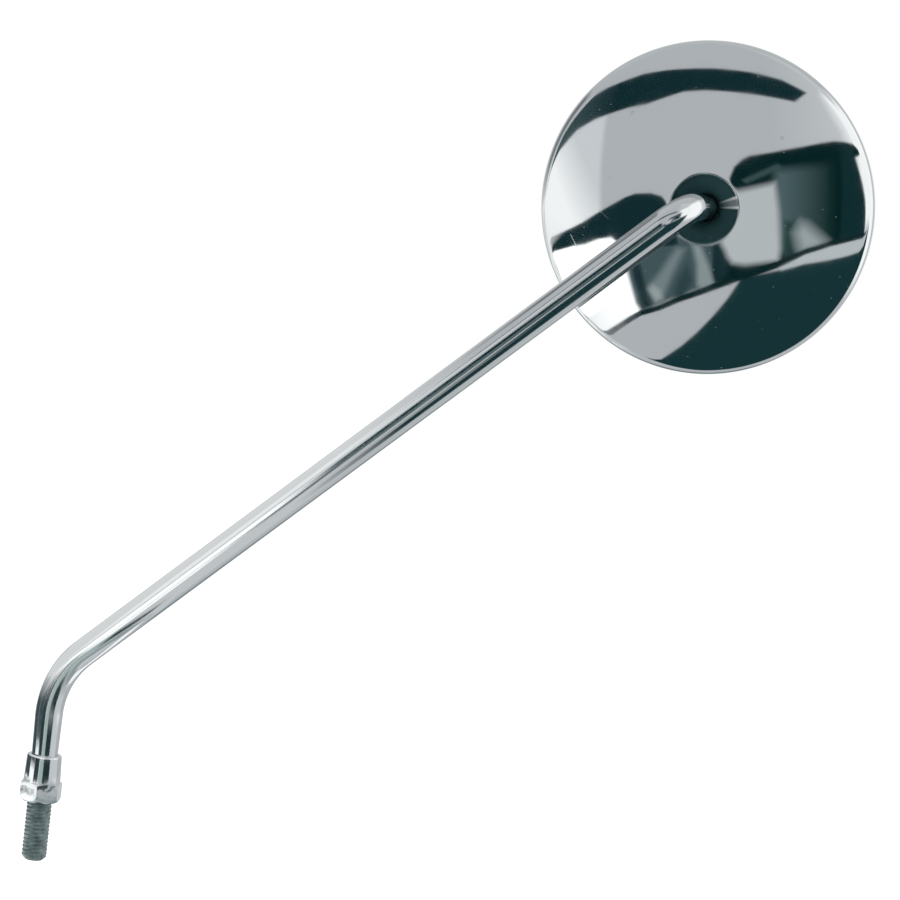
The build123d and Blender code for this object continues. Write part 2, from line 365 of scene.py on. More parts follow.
def take(piece):
    """Select one piece alone and make it the active one."""
    bpy.ops.object.select_all(action="DESELECT")
    piece.select_set(True)
    bpy.context.view_layer.objects.active = piece


def turned_piece(name, points, segments, back_axis):
    """Turned piece that stands on the ball's centre, its axis towards the back, its place in its mesh."""
    piece = turn_outline(name, points, segments)
    stop_editing()
    take(piece)
    turn = UPRIGHT.rotation_difference(back_axis)
    piece.matrix_world = Matrix.Translation(BALL_CENTRE * MM) @ turn.to_matrix().to_4x4()
    bpy.ops.object.transform_apply(location=True, rotation=True, scale=True)
    return piece


def combine(piece, tool, operation):
    """Boolean of two solids. The tool goes."""
    take(piece)
    cut = piece.modifiers.new("cut", "BOOLEAN")
    cut.operation = operation
    cut.solver = "EXACT"
    cut.object = tool
    bpy.ops.object.modifier_apply(modifier=cut.name)
    bpy.data.objects.remove(tool)


# Pieces

def cut_thread(piece):
    """Press the helical groove into the turned foot, fading into its chamfer."""
    crest_share = 0.2
    root_share = 0.25
    flank_share = (1 - crest_share - root_share) / 2
    for vertex in piece.data.vertices:
        place = vertex.co / MM
        reach = math.hypot(place.x, place.y)
        if place.z > -CLOSE or reach < CREST_RADIUS - STUD_CHAMFER / 2:
            continue
        turn = math.atan2(place.y, place.x) / (2 * math.pi)
        phase = abs((place.z / THREAD_PITCH - turn) % 1 - 0.5) * 2
        depth = share_of((phase - crest_share) / (2 * flank_share))
        smooth = depth * depth * (3 - 2 * depth)
        radius = min(reach, CREST_RADIUS - THREAD_DEPTH * smooth)
        vertex.co.x *= radius / reach
        vertex.co.y *= radius / reach


def make_stem_bar():
    """Bar in one piece: threaded foot, wide lower bend, long run, tight elbow and bored end."""
    turn = 90 - RISE_ANGLE
    tangent = LOWER_BEND_RADIUS * math.tan(math.radians(turn / 2))
    bend_start = LOWER_CORNER.z - tangent
    bend_end = LOWER_CORNER + ALONG_BAR * tangent
    elbow = BALL_CENTRE - Vector((0, ELBOW_TO_BALL, 0))
    elbow_start = elbow - ALONG_BAR * ELBOW_RADIUS

    rings = int((STUD_LENGTH - STUD_CHAMFER) / THREAD_PITCH * THREAD_RINGS_PER_TURN)
    thread_top = [
        (CREST_RADIUS, (STUD_LENGTH - STUD_CHAMFER) * (step / rings - 1)) for step in range(1, rings + 1)]
    chamfer = [
        (CREST_RADIUS - STUD_CHAMFER * (1 - step / THREAD_RINGS_PER_TURN),
         -STUD_LENGTH + STUD_CHAMFER * step / THREAD_RINGS_PER_TURN)
        for step in range(THREAD_RINGS_PER_TURN + 1)]
    foot = [(0, -STUD_LENGTH)] + chamfer + thread_top + [
        (PITCH_RADIUS, 0),
        (PITCH_RADIUS, HEX_HEIGHT),
        (FOOT_RADIUS, HEX_HEIGHT),
        (FOOT_RADIUS, NUT_HEIGHT),
        (BAR_RADIUS, bend_start),
    ]
    bar = turn_outline("stem_bar", foot, BAR_SEGMENTS)

    # Spin turns clockwise about its axis.
    pick(bar, lambda place: abs(place.z - bend_start) < PICK_REACH)
    bpy.ops.mesh.spin(
        steps=LOWER_BEND_STEPS, angle=math.radians(turn),
        center=Vector((LOWER_BEND_RADIUS, 0, bend_start)) * MM, axis=(0, -1, 0))
    pick(bar, lambda place: abs((place - bend_end).dot(ALONG_BAR)) < PICK_REACH and place.x > 0)
    extrude_by((elbow_start - bend_end) * MM)
    elbow_centre = elbow_start + Vector((0, ELBOW_RADIUS, 0))
    pick(bar, lambda place: abs((place - elbow_start).dot(ALONG_BAR)) < PICK_REACH)
    bpy.ops.mesh.spin(
        steps=ELBOW_STEPS, angle=math.radians(90),
        center=elbow_centre * MM, axis=Vector((0, 1, 0)).cross(ALONG_BAR))

    end_depth = ELBOW_TO_BALL - BAR_END_TO_BALL
    round_start = end_depth - BAR_END_ROUND
    bore_radius = SHANK_RADIUS + SHANK_GAP
    pick(bar, lambda place: place.y > ELBOW_RADIUS - PICK_REACH)
    extrude_by(Vector((0, round_start - ELBOW_RADIUS, 0)) * MM)
    last_angle = math.acos((bore_radius - BAR_RADIUS + BAR_END_ROUND) / BAR_END_ROUND)
    radius, depth = BAR_RADIUS, round_start
    for step in range(1, END_ROUND_STEPS + 1):
        angle = last_angle * step / END_ROUND_STEPS
        next_radius = BAR_RADIUS - BAR_END_ROUND * (1 - math.cos(angle))
        next_depth = round_start + BAR_END_ROUND * math.sin(angle)
        extrude_by(Vector((0, next_depth - depth, 0)) * MM)
        shrink = next_radius / radius
        bpy.ops.transform.resize(
            value=(shrink, shrink, shrink), center_override=Vector((elbow.x, next_depth, elbow.z)) * MM)
        radius, depth = next_radius, next_depth
    extrude_by(Vector((0, -SHANK_LENGTH, 0)) * MM)
    bpy.ops.mesh.edge_face_add()
    close_mesh()
    stop_editing()
    cut_thread(bar)
    return bar


def make_ball_pin():
    """Turned pin: ball, thin neck and the shank that sits in the bar's end."""
    neck_reach = NECK_RADIUS + NECK_ROUND
    fillet_height = sphere_height(BALL_RADIUS + NECK_ROUND, neck_reach)
    meet = math.degrees(math.atan2(fillet_height, neck_reach))
    points = arc((0, 0), BALL_RADIUS, -90, meet, BALL_STEPS)
    points += arc((neck_reach, fillet_height), NECK_ROUND, 180 + meet, 180, NECK_STEPS)
    points += [
        (NECK_RADIUS, BAR_END_TO_BALL),
        (SHANK_RADIUS, BAR_END_TO_BALL),
        (SHANK_RADIUS, BAR_END_TO_BALL + SHANK_LENGTH),
        (0, BAR_END_TO_BALL + SHANK_LENGTH),
    ]
    return turned_piece("ball_pin", points, BAR_SEGMENTS, STEM_BACK)


def make_sleeve_nut():
    """Nut in one piece: chamfered hexagon with rounded corners and a tapering sleeve above it."""
    corner = HEX_FLATS / math.sqrt(3)
    seat_edge = HEX_FLATS / 2 - SEAT_CHAMFER_INSET
    seat_drop = (corner - seat_edge) * math.tan(math.radians(SEAT_CHAMFER_ANGLE))
    top_edge = HEX_FLATS / 2 - TOP_CHAMFER_INSET
    top_drop = (corner - top_edge) * math.tan(math.radians(TOP_CHAMFER_ANGLE))

    bpy.ops.mesh.primitive_cylinder_add(
        vertices=6, radius=corner * MM, depth=HEX_HEIGHT * MM, location=(0, 0, HEX_HEIGHT / 2 * MM),
        rotation=(0, 0, math.radians(NUT_TURN + HALF_FLAT_ANGLE)))
    nut = bpy.context.object
    nut.name = "sleeve_nut"
    nut.data.name = "sleeve_nut"
    bpy.ops.object.transform_apply(location=True, rotation=True, scale=True)
    bpy.ops.object.mode_set(mode="EDIT")
    mesh = bmesh.from_edit_mesh(nut.data)
    for edge in mesh.edges:
        low, high = edge.verts
        edge.select_set(abs(low.co.z - high.co.z) > HEX_HEIGHT / 2 * MM)
    bmesh.update_edit_mesh(nut.data)
    bpy.ops.mesh.bevel(offset=HEX_CORNER_ROUND * MM, segments=HEX_CORNER_STEPS, affect="EDGES")
    bpy.ops.object.mode_set(mode="OBJECT")

    tools = (
        ("chamfers", "INTERSECT", (
            (0, 0),
            (seat_edge, 0),
            (corner, seat_drop),
            (corner, HEX_HEIGHT - top_drop),
            (top_edge, HEX_HEIGHT),
            (0, HEX_HEIGHT))),
        ("sleeve", "UNION", (
            (0, HEX_HEIGHT - top_drop),
            (SLEEVE_BASE_RADIUS, HEX_HEIGHT - top_drop),
            (SLEEVE_BASE_RADIUS, HEX_HEIGHT),
            (SLEEVE_TOP_RADIUS, NUT_HEIGHT, SLEEVE_TOP_ROUND),
            (0, NUT_HEIGHT))),
        ("bore", "DIFFERENCE", (
            (0, -BORE_OVERRUN),
            (CREST_RADIUS + RUNNING_GAP, -BORE_OVERRUN),
            (CREST_RADIUS + RUNNING_GAP, 0),
            (PITCH_RADIUS + RUNNING_GAP, CREST_RADIUS - PITCH_RADIUS),
            (PITCH_RADIUS + RUNNING_GAP, HEX_HEIGHT),
            (FOOT_RADIUS + RUNNING_GAP, HEX_HEIGHT),
            (FOOT_RADIUS + RUNNING_GAP, NUT_HEIGHT + BORE_OVERRUN),
            (0, NUT_HEIGHT + BORE_OVERRUN))),
    )
    for name, operation, corners in tools:
        tool = turn_outline(name, outline(*corners), BAR_SEGMENTS)
        bpy.ops.object.mode_set(mode="OBJECT")
        combine(nut, tool, operation)
    edge_round = nut.modifiers.new("edge_round", "BEVEL")
    edge_round.width = NUT_EDGE_ROUND * MM
    edge_round.segments = NUT_EDGE_STEPS
    edge_round.limit_method = "ANGLE"
    edge_round.angle_limit = math.radians(NUT_EDGE_ANGLE)
    bpy.ops.object.modifier_apply(modifier=edge_round.name)
    bpy.ops.object.shade_smooth_by_angle(angle=math.radians(NUT_SMOOTH_ANGLE))
    return nut


def funnel_apex(offset):
    """Height where the funnel's outer wall, or the wall an offset inside it, would meet the axis."""
    slope = math.radians(FUNNEL_SLOPE)
    inner = sphere_height(SEAT_RADIUS, SEAT_EDGE_RADIUS) - SEAT_EDGE_RADIUS * math.tan(slope)
    return inner + (SHEET - offset) / math.cos(slope)


def pressed_side(offset):
    """Funnel, dome and skirt of one side of the sheet, from the funnel's hole to the front edge."""
    rate = math.tan(math.radians(FUNNEL_SLOPE))
    lip_height = funnel_apex(0) + LIP_RADIUS * rate
    centre = lip_height - sphere_height(DOME_RADIUS, LIP_RADIUS)
    apex = funnel_apex(offset)
    radius = DOME_RADIUS - offset
    skirt = SHELL_RADIUS - offset
    gap = apex - centre
    half = rate * gap
    slant = 1 + rate ** 2
    lip = (math.sqrt(half ** 2 - slant * (gap ** 2 - radius ** 2)) - half) / slant
    lip_point = (lip, apex + rate * lip)
    turn = SHOULDER_ROUND - offset
    shoulder = (skirt - turn, centre + sphere_height(radius - turn, skirt - turn))
    dome_start = lip + LIP_ROUND
    steps = int((skirt - dome_start) / DOME_STEP)
    start_angle = math.degrees(math.acos(dome_start / radius))
    end_angle = math.degrees(math.acos(shoulder[0] / (radius - turn)))
    dome = arc((0, centre), radius, start_angle, end_angle, steps)
    front = shell_front() + offset
    first = (HOLE_RADIUS, apex + rate * HOLE_RADIUS)
    if offset:
        first = (SEAT_EDGE_RADIUS, apex + rate * SEAT_EDGE_RADIUS)
    points = [first]
    points += round_corner(first, lip_point, dome[0], LIP_ROUND - offset, LIP_STEPS)
    points += dome
    points += arc(shoulder, turn, end_angle, 0, SHOULDER_STEPS)[1:]
    points += round_corner(points[-1], (skirt, front), (0, front), HEM_ROUND - offset, LIP_STEPS)
    points.append((SHELL_RADIUS - SHEET - HEM_WIDTH, front))
    return points


def glass_height(edge_height, reach):
    """Height of a face of the glass at a distance from its axis, from its height at the edge."""
    return edge_height + sphere_height(GLASS_CURVE, GLASS_RADIUS) - sphere_height(GLASS_CURVE, reach)


def channel_front():
    """Height of the front of the rubber channel."""
    return glass_height(GLASS_FRONT, CHANNEL_INNER) - TOUCH_GAP - CHANNEL_LIP


def shell_front():
    """Height of the shell's turned front edge."""
    return channel_front() - TOUCH_GAP - SHEET


def make_chrome_shell():
    """Pressed shell of even thickness: funnel, shallow dome, rounded rim and turned front edge."""
    seat_start = math.degrees(math.acos(SEAT_EDGE_RADIUS / SEAT_RADIUS))
    seat_end = math.degrees(math.acos(HOLE_RADIUS / SEAT_RADIUS))
    seat = arc((0, 0), SEAT_RADIUS, seat_start, seat_end, SEAT_STEPS)
    outside = pressed_side(0)
    inside = pressed_side(SHEET)
    points = outside + inside[::-1] + seat + outside[:1]
    shell = turned_piece("chrome_shell", points, SHELL_SEGMENTS, HEAD_BACK)
    mark_painted_funnel_light(shell)
    return shell


def mark_painted_funnel_light(shell):
    """Mark painted shade in the funnel's recess, and two lines up its wall that get a painted reflection in
    place of the shade.
    """
    funnel_shade_share = shell.data.attributes.new("painted_funnel_shade", "FLOAT", "POINT")
    line_reflection = shell.data.attributes.new("painted_reflection_lines", "FLOAT", "POINT")
    for vertex in shell.data.vertices:
        place = vertex.co / MM - BALL_CENTRE
        radial = place - HEAD_BACK * place.dot(HEAD_BACK)
        reach = radial.length
        # Painted shade: dark in the funnel, further over the lip on its lower side
        start = FUNNEL_SHADE_START + LOWER_LIP_SHADE * share_of(-radial.z / max(reach, CLOSE))
        share = share_of((start - reach) / FUNNEL_SHADE_FADE)
        angle = math.degrees(math.atan2(radial.z, radial.dot(HEAD_ACROSS)))
        # On two lines up the wall a painted reflection of the neck takes the place of the painted shade
        off_line = min(abs(angle - line) for line in REFLECTION_LINES)
        limit = BETWEEN_LINES if REFLECTION_LINES[0] < angle < REFLECTION_LINES[1] else 1.0
        dull = share_of((off_line - REFLECTION_LINE_CORE) / (REFLECTION_LINE_EDGE - REFLECTION_LINE_CORE), limit)
        shown = share_of((reach - LINES_START) / LINES_FADE)
        funnel_shade_share.data[vertex.index].value = share * (1 - shown * (1 - dull))
        line_reflection.data[vertex.index].value = share * shown * (1 - dull)


def make_convex_glass():
    """Convex disc of even thickness with ground edges."""
    inner = GLASS_RADIUS - 2 * GLASS_EDGE_ROUND
    reaches = [inner * ring / GLASS_RINGS for ring in range(GLASS_RINGS + 1)]
    front = [(reach, glass_height(GLASS_FRONT, reach)) for reach in reaches]
    back = [(reach, glass_height(GLASS_BACK, reach)) for reach in reaches[::-1]]
    front_corner = (GLASS_RADIUS, GLASS_FRONT)
    back_corner = (GLASS_RADIUS, GLASS_BACK)
    rim = round_corner(front[-1], front_corner, back_corner, GLASS_EDGE_ROUND, GLASS_EDGE_STEPS)
    rim += round_corner(front_corner, back_corner, back[0], GLASS_EDGE_ROUND, GLASS_EDGE_STEPS)
    return turned_piece("convex_glass", front + rim + back, SHELL_SEGMENTS // 2, HEAD_BACK)


def make_rubber_channel():
    """Soft channel round the edges of the board and the glass, its lips slightly rounded."""
    outer = SHELL_RADIUS - SHEET - CHANNEL_GAP
    groove = outer - CHANNEL_WALL
    front = channel_front()
    back = BOARD_BACK + CHANNEL_LIP
    points = outline(
        (CHANNEL_INNER, front, CHANNEL_LIP_ROUND),
        (outer, front, CHANNEL_CORNER_ROUND),
        (outer, back, CHANNEL_LIP_ROUND),
        (CHANNEL_INNER, back, CHANNEL_LIP_ROUND),
        (CHANNEL_INNER, BOARD_BACK + TOUCH_GAP),
        (groove, BOARD_BACK + TOUCH_GAP),
        (groove, front + CHANNEL_LIP),
        (CHANNEL_INNER, front + CHANNEL_LIP, CHANNEL_LIP_ROUND),
    )
    return turned_piece("rubber_channel", points + points[:1], SHELL_SEGMENTS // 2, HEAD_BACK)


# Materials

def linear(code):
    """Linear colour from an sRGB hex code."""
    channels = [int(code[index:index + 2], 16) / 255 for index in (1, 3, 5)]
    return [c / 12.92 if c <= 0.04045 else ((c + 0.055) / 1.055) ** 2.4 for c in channels] + [1.0]


def per_mm(size):
    """Texture scale that makes a pattern of the given size in millimetres."""
    return 1 / (size * MM)


def add(tree, kind, inputs=(), **settings):
    """Add a shader node. Inputs are values or sockets to link, settings are the node's own."""
    made = tree.nodes.new(kind)
    for name, value in settings.items():
        setattr(made, name, value)
    for name, value in dict(inputs).items():
        if isinstance(value, bpy.types.NodeSocket):
            tree.links.new(value, made.inputs[name])
        else:
            made.inputs[name].default_value = value
    return made


def start_material(name):
    """New material with an empty tree, and the object coordinates that its patterns read."""
    material = bpy.data.materials.new(name)
    material.use_nodes = True
    tree = material.node_tree
    tree.nodes.clear()
    place = add(tree, "ShaderNodeTexCoord").outputs["Object"]
    return material, tree, place


def end_material(material, shader):
    """Link the shader to the material's output."""
    add(material.node_tree, "ShaderNodeOutputMaterial", {"Surface": shader.outputs[0]})
    return material


def mottled_colour(tree, place, size, detail, dark, light, full=(0.3, 0.7), distortion=0.0):
    """Noise of a size in millimetres and its two colours, with the noise at which each colour is full."""
    noise = add(tree, "ShaderNodeTexNoise", {
        "Vector": place, "Scale": per_mm(size), "Detail": detail, "Distortion": distortion})
    colour = add(tree, "ShaderNodeValToRGB", {"Fac": noise.outputs["Fac"]})
    for stop, position, tone in zip(colour.color_ramp.elements, full, (dark, light)):
        stop.position = position
        stop.color = linear(tone)
    return noise.outputs["Fac"], colour.outputs["Color"]


def clouded_colour(tree, place, size, detail, dark, light):
    """Two colours that run into each other in soft clouds of a size in millimetres."""
    clouds = add(tree, "ShaderNodeTexNoise", {"Vector": place, "Scale": per_mm(size), "Detail": detail})
    colour = add(tree, "ShaderNodeMix", {
        "Factor": clouds.outputs["Fac"], 6: linear(dark), 7: linear(light)}, data_type="RGBA")
    return colour.outputs[2]


def smeared_roughness(tree, place, size, clean, smeared, smooth, dull, distortion=0.0):
    """Roughness from smooth to dull, with the noise of a size in millimetres at which each is full."""
    smear = add(tree, "ShaderNodeTexNoise", {
        "Vector": place, "Scale": per_mm(size), "Detail": 3.0, "Distortion": distortion})
    roughness = add(tree, "ShaderNodeMapRange", {
        "Value": smear.outputs["Fac"], "From Min": clean, "From Max": smeared,
        "To Min": smooth, "To Max": dull})
    return roughness.outputs["Result"]


def grained_surface(tree, place, size, strength, depth):
    """Surface with a fine grain of a size and a depth in millimetres."""
    grain = add(tree, "ShaderNodeTexNoise", {"Vector": place, "Scale": per_mm(size), "Detail": 2.0})
    bump = add(tree, "ShaderNodeBump", {
        "Height": grain.outputs["Fac"], "Strength": strength, "Distance": depth * MM})
    return bump.outputs["Normal"]


def polished_surface(tree, place, smooth, hazy, wave_width, wave_height):
    """Roughness and surface of polished plating: a faint haze, soft waves and fine rub marks."""
    roughness = smeared_roughness(tree, place, 7.0, 0.35, 0.7, smooth, hazy)
    wave = add(tree, "ShaderNodeTexNoise", {"Vector": place, "Scale": per_mm(wave_width), "Detail": 0.0})
    wave_bump = add(tree, "ShaderNodeBump", {
        "Height": wave.outputs["Fac"], "Strength": 1.0, "Distance": wave_height * MM})
    # Rub marks are finer than the render can show, so they are drawn 0.25 mm wide and 12 mm long.
    lay = add(tree, "ShaderNodeMapping", {
        "Vector": place, "Rotation": (0.4, 0.9, 0.3),
        "Scale": (per_mm(0.25), per_mm(12.0), per_mm(0.25))})
    marks = add(tree, "ShaderNodeTexNoise", {"Vector": lay.outputs["Vector"], "Scale": 1.0, "Detail": 1.0})
    marks_bump = add(tree, "ShaderNodeBump", {
        "Height": marks.outputs["Fac"], "Strength": 0.5, "Distance": 0.0003 * MM,
        "Normal": wave_bump.outputs["Normal"]})
    return roughness, marks_bump.outputs["Normal"]


def chrome_plate(name, smooth, hazy, wave_width, wave_height):
    """Bright chrome on polished metal: a mirror with a slight haze and waves that bend what it shows."""
    material, tree, place = start_material(name)
    roughness, surface = polished_surface(tree, place, smooth, hazy, wave_width, wave_height)
    shader = add(tree, "ShaderNodeBsdfPrincipled", {
        "Base Color": linear(CHROME), "Metallic": 1.0, "Roughness": roughness, "Normal": surface})
    return end_material(material, shader)


def on_dome(reach, angle):
    """Place beside the dome's axis, at a distance off it and an angle up from the camera's right."""
    turn = math.radians(angle)
    return (BALL_CENTRE + (HEAD_ACROSS * math.cos(turn) + UPRIGHT * math.sin(turn)) * reach) * MM


def dome_mark(tree, place, start, end, width, strength):
    """Share of a short mark on the dome, strongest on its line and nothing a width away."""
    line = end - start
    offset = add(tree, "ShaderNodeVectorMath", {0: place, 1: start}, operation="SUBTRACT").outputs["Vector"]
    along = add(tree, "ShaderNodeVectorMath", {
        0: offset, 1: line / line.length_squared}, operation="DOT_PRODUCT")
    inside = add(tree, "ShaderNodeClamp", {"Value": along.outputs["Value"]})
    nearest = add(tree, "ShaderNodeVectorMath", {
        0: line, "Scale": inside.outputs["Result"]}, operation="SCALE")
    aside = add(tree, "ShaderNodeVectorMath", {
        0: offset, 1: nearest.outputs["Vector"]}, operation="SUBTRACT")
    flat = add(tree, "ShaderNodeVectorMath", {
        0: aside.outputs["Vector"], 1: HEAD_BACK}, operation="CROSS_PRODUCT")
    distance = add(tree, "ShaderNodeVectorMath", {0: flat.outputs["Vector"]}, operation="LENGTH")
    share = add(tree, "ShaderNodeMapRange", {
        "Value": distance.outputs["Value"], "From Max": width * MM, "To Min": strength, "To Max": 0.0})
    return share.outputs["Result"]


def dust(tree, place):
    """Share of fine dust: specks a few tenths of a millimetre wide in some of the cells."""
    cells = add(tree, "ShaderNodeTexVoronoi", {"Vector": place, "Scale": per_mm(2.3)})
    speck = add(tree, "ShaderNodeMapRange", {
        "Value": cells.outputs["Distance"], "From Min": 0.03, "From Max": 0.08,
        "To Min": 0.55, "To Max": 0.0})
    chosen = add(tree, "ShaderNodeMath", {0: cells.outputs["Color"], 1: 0.5}, operation="GREATER_THAN")
    share = add(tree, "ShaderNodeMath", {
        0: speck.outputs["Result"], 1: chosen.outputs["Value"]}, operation="MULTIPLY")
    return share.outputs["Value"]


def shell_chrome_plate():
    """Bright chrome on a pressed shell: a calm mirror on the dome with dust, three dull spots and two light
    scratches, painted shade in the funnel's recess and two painted reflection lines up its wall."""
    material, tree, place = start_material("chrome_plated_shell")
    roughness, surface = polished_surface(
        tree, place, smooth=0.035, hazy=0.06, wave_width=26.0, wave_height=0.008)
    funnel_shade_share = add(tree, "ShaderNodeAttribute", attribute_name="painted_funnel_shade").outputs["Fac"]
    lines = add(tree, "ShaderNodeAttribute", attribute_name="painted_reflection_lines").outputs["Fac"]
    worn = dust(tree, place)
    for reach, angle, end_reach, end_angle, width, strength in DOME_MARKS:
        share = dome_mark(tree, place, on_dome(reach, angle), on_dome(end_reach, end_angle), width, strength)
        worn = add(tree, "ShaderNodeMath", {0: worn, 1: share}, operation="MAXIMUM").outputs["Value"]
    colour = linear(CHROME)
    # Painted shade in the funnel, painted reflection lines up its wall, then real dust and marks
    for share, tone, dull in ((funnel_shade_share, "#3f5f63", 0.36), (lines, "#fafcfc", 0.6), (worn, "#a2a8a9", 0.42)):
        colour = add(tree, "ShaderNodeMix", {
            "Factor": share, 6: colour, 7: linear(tone)}, data_type="RGBA").outputs[2]
        roughness = add(tree, "ShaderNodeMix", {"Factor": share, 2: roughness, 3: dull}).outputs[0]
    bare = add(tree, "ShaderNodeMath", {0: 1.0, 1: worn}, operation="SUBTRACT")
    shader = add(tree, "ShaderNodeBsdfPrincipled", {
        "Base Color": colour, "Metallic": bare.outputs["Value"], "Roughness": roughness, "Normal": surface})
    return end_material(material, shader)


def worn_thread_steel():
    """Zinc plated thread that nuts have run over: dull grey-green metal with dark grooves."""
    material, tree, place = start_material("worn_thread_steel")
    _, colour = mottled_colour(tree, place, 2.2, 4.0, "#5b6a6a", "#8f9a9a")
    shader = add(tree, "ShaderNodeBsdfPrincipled", {
        "Base Color": colour, "Metallic": 1.0, "Roughness": 0.55,
        "Normal": grained_surface(tree, place, 0.3, strength=0.6, depth=0.02)})
    return end_material(material, shader)


def turned_steel(name, dark, light, roughness, grain_width):
    """Machined steel, plated or blued, with a fine grain that catches the light in small spots."""
    material, tree, place = start_material(name)
    grain, colour = mottled_colour(tree, place, grain_width, 3.0, dark, light, (0.3, 0.75))
    bump = add(tree, "ShaderNodeBump", {"Height": grain, "Strength": 0.4, "Distance": 0.01 * MM})
    shader = add(tree, "ShaderNodeBsdfPrincipled", {
        "Base Color": colour, "Metallic": 1.0, "Roughness": roughness, "Normal": bump.outputs["Normal"]})
    return end_material(material, shader)


def pin_steel_with_painted_shade():
    """Bare steel pin: pale fine-turned neck, and a ball painted dark as the shade at the bottom of the
    funnel.
    """
    material, tree, place = start_material("pin_steel_with_painted_shade")
    steel = clouded_colour(tree, place, 0.6, 3.0, "#b4b9b9", "#d9dcdc")
    off_centre = add(tree, "ShaderNodeVectorMath", {0: place, 1: BALL_CENTRE * MM}, operation="DISTANCE")
    # Share of the pin outside the painted shade on the ball
    clean = add(tree, "ShaderNodeMapRange", {
        "Value": off_centre.outputs["Value"], "From Min": (BALL_RADIUS + BALL_SHADE_START) * MM,
        "From Max": (BALL_RADIUS + BALL_SHADE_END) * MM})
    colour = add(tree, "ShaderNodeMix", {
        "Factor": clean.outputs["Result"], 6: linear("#3a5053"), 7: steel}, data_type="RGBA")
    roughness = add(tree, "ShaderNodeMapRange", {
        "Value": clean.outputs["Result"], "To Min": 0.55, "To Max": 0.33})
    shader = add(tree, "ShaderNodeBsdfPrincipled", {
        "Base Color": colour.outputs[2], "Metallic": 1.0, "Roughness": roughness.outputs["Result"]})
    return end_material(material, shader)


def silvered_glass():
    """Silvered glass: a clean mirror with a trace of green and a few faint smears."""
    material, tree, place = start_material("silvered_glass")
    roughness = smeared_roughness(tree, place, 18.0, 0.5, 0.8, smooth=0.015, dull=0.06, distortion=0.6)
    shader = add(tree, "ShaderNodeBsdfPrincipled", {
        "Base Color": linear("#e7eeec"), "Metallic": 1.0, "Roughness": roughness,
        "Coat Weight": 0.5, "Coat Roughness": 0.02, "Coat IOR": 1.52})
    return end_material(material, shader)


def soft_rubber():
    """Black moulded rubber: deep matt black with a fine grain and a dusty bloom."""
    material, tree, place = start_material("soft_black_rubber")
    _, colour = mottled_colour(tree, place, 9.0, 4.0, "#141516", "#2a2c2d", (0.35, 0.8))
    shader = add(tree, "ShaderNodeBsdfPrincipled", {
        "Base Color": colour, "Roughness": 0.62, "IOR": 1.52,
        "Normal": grained_surface(tree, place, 0.35, strength=0.5, depth=0.03)})
    return end_material(material, shader)


def pressed_fibre_board():
    """Brown pressed board: short matted fibres in two browns, without gloss."""
    material, tree, place = start_material("pressed_fibre_board")
    fibres, colour = mottled_colour(tree, place, 1.4, 6.0, "#5a4028", "#8b6a47", distortion=1.2)
    bump = add(tree, "ShaderNodeBump", {"Height": fibres, "Strength": 0.6, "Distance": 0.08 * MM})
    shader = add(tree, "ShaderNodeBsdfPrincipled", {
        "Base Color": colour, "Roughness": 0.85, "IOR": 1.5, "Normal": bump.outputs["Normal"]})
    return end_material(material, shader)


def natural_acetal():
    """Moulded natural plastic: milky, half matt, with faint flow clouds."""
    material, tree, place = start_material("natural_acetal")
    _, colour = mottled_colour(tree, place, 3.0, 2.0, "#dcd7ca", "#efebe1")
    shader = add(tree, "ShaderNodeBsdfPrincipled", {"Base Color": colour, "Roughness": 0.42, "IOR": 1.48})
    return end_material(material, shader)


def coat(piece, material):
    """Give a piece one finish in place of what it had."""
    piece.data.materials.clear()
    piece.data.materials.append(material)


def coat_faces(piece, material, test):
    """Give the faces that pass a test a second finish."""
    piece.data.materials.append(material)
    for face in piece.data.polygons:
        if test(face):
            face.material_index = 1


def dress(piece, material, body, node):
    """Give a piece its finish, the body it moves with and the solid it stands for."""
    coat(piece, material)
    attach(piece, body)
    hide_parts(node)


def on_flat(face):
    """Whether a face of the nut is on one of its six flats."""
    return face.center.z < HEX_HEIGHT * MM and abs(face.normal.z) < FLAT_TILT_LIMIT


stem_chrome = chrome_plate("chrome_plated_bar", smooth=0.10, hazy=0.16, wave_width=22.0, wave_height=0.006)
nut_chrome = chrome_plate("chrome_plated_nut", smooth=0.09, hazy=0.16, wave_width=2.4, wave_height=0.012)
flat_chrome = chrome_plate("chrome_plated_flats", smooth=0.12, hazy=0.20, wave_width=1.3, wave_height=0.06)
shell_chrome = shell_chrome_plate()
zinc_plate = turned_steel("zinc_plated_steel", "#8d9494", "#c3c8c7", roughness=0.34, grain_width=1.1)
blued_steel = turned_steel("blued_spring_steel", "#4a4e55", "#7d8288", roughness=0.30, grain_width=0.8)

stem_bar = make_stem_bar()
dress(stem_bar, stem_chrome, "stem", "stem_rod")
coat_faces(stem_bar, worn_thread_steel(), lambda face: face.center.z < 0)
dress(make_ball_pin(), pin_steel_with_painted_shade(), "stem", "ball_stud")
sleeve_nut = make_sleeve_nut()
dress(sleeve_nut, nut_chrome, "nut", "lock_nut")
coat_faces(sleeve_nut, flat_chrome, on_flat)
dress(make_chrome_shell(), shell_chrome, "head", "back_shell")
dress(make_convex_glass(), silvered_glass(), "head", "mirror_glass")
dress(make_rubber_channel(), soft_rubber(), "head", "rim_gasket")
for node, finish in (
        ("friction_cup", natural_acetal()),
        ("spring_washer", blued_steel),
        ("ball_retainer", zinc_plate),
        ("retainer_studs", zinc_plate),
        ("retainer_nuts", zinc_plate),
        ("backing_board", pressed_fibre_board())):
    coat(frame["nodes"][node], finish)


# Studio

